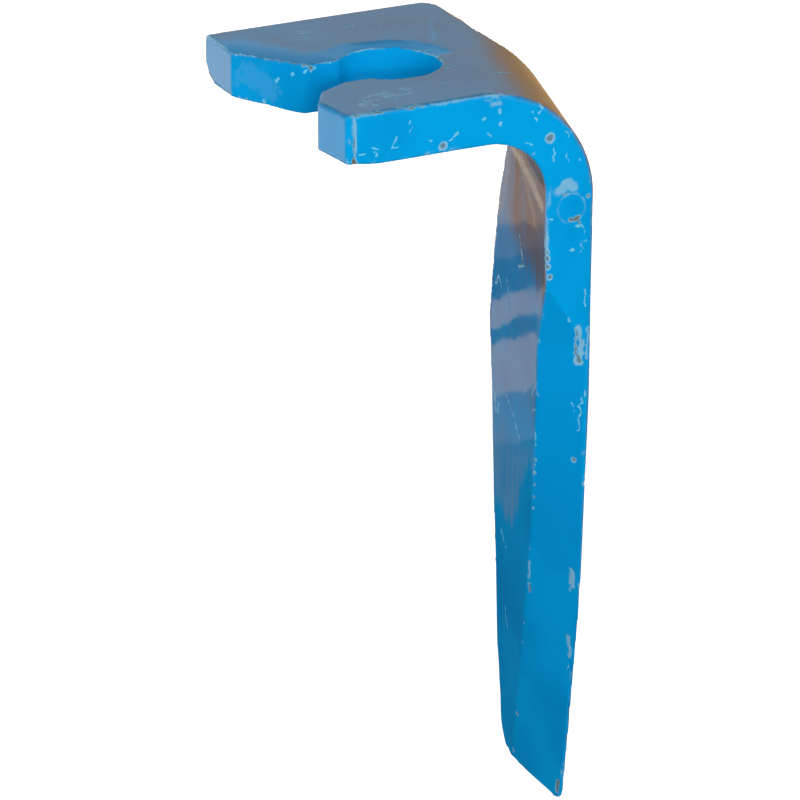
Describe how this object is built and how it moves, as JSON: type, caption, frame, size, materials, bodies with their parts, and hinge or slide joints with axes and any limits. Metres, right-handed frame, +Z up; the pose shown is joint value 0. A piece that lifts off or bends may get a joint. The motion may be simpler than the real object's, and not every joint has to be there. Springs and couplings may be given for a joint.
{
  "type": "power harrow tine",
  "caption": "Forged power harrow tine: flat head with an open keyhole for its pin, an oblique bend, and a broad hanging blade with a bevelled leading edge, painted blue.",
  "frame": {"origin": "on the axis of the pin bore, at the head's top face", "axes": "+Z up along the pin, +X from the pin towards the bend, +Y along the head towards its wider arm; the blade hangs down along -Z"},
  "size_m": [0.1222, 0.1115, 0.3036],
  "materials": {
    "blue_paint": "glossy sky-blue paint on forged steel, chipped and scuffed along its edges"
  },
  "bodies": {
    "root": {"tine": "blue_paint"}
  },
  "joints": []
}
